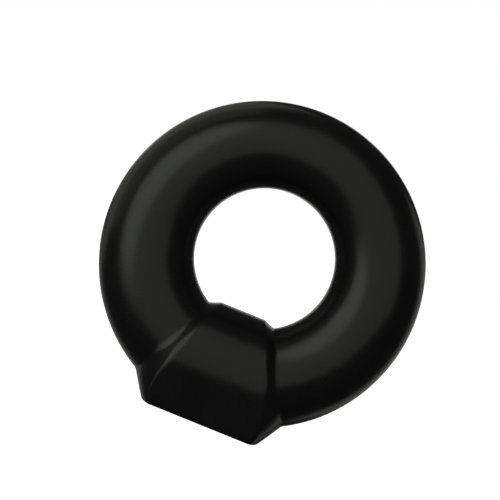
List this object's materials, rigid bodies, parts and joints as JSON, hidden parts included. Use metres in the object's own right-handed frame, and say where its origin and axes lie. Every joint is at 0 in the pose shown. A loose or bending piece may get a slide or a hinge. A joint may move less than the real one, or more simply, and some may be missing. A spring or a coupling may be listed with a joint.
{
  "type": "ring insulator",
  "caption": "Ring insulator for electric-fence wire: a thick moulded ring on a flat block foot with a threaded socket, and a steel core inside its split shells.",
  "frame": {"origin": "centre of the foot's face, on the plane that bears on the post", "axes": "+Z from the foot through the middle of the ring, Y along the ring's hole with the front towards -Y, X across the ring"},
  "size_m": [0.0602, 0.0216, 0.0611],
  "materials": {
    "shell": "black moulded polymer, smooth and semi-gloss",
    "core": "galvanised steel rod",
    "socket": "galvanised steel, turned and threaded",
    "seal": "black rubber cord",
    "screw": "stainless steel"
  },
  "bodies": {
    "root": {"front_shell": "shell", "rear_shell": "shell", "core_ring": "core", "anchor_socket": "socket", "inner_seam_seal": "seal", "outer_seam_seal": "seal", "foot_seal": "seal", "shell_screw_1": "screw", "shell_screw_2": "screw", "shell_screw_3": "screw", "shell_screw_4": "screw", "shell_screw_5": "screw"}
  },
  "joints": []
}
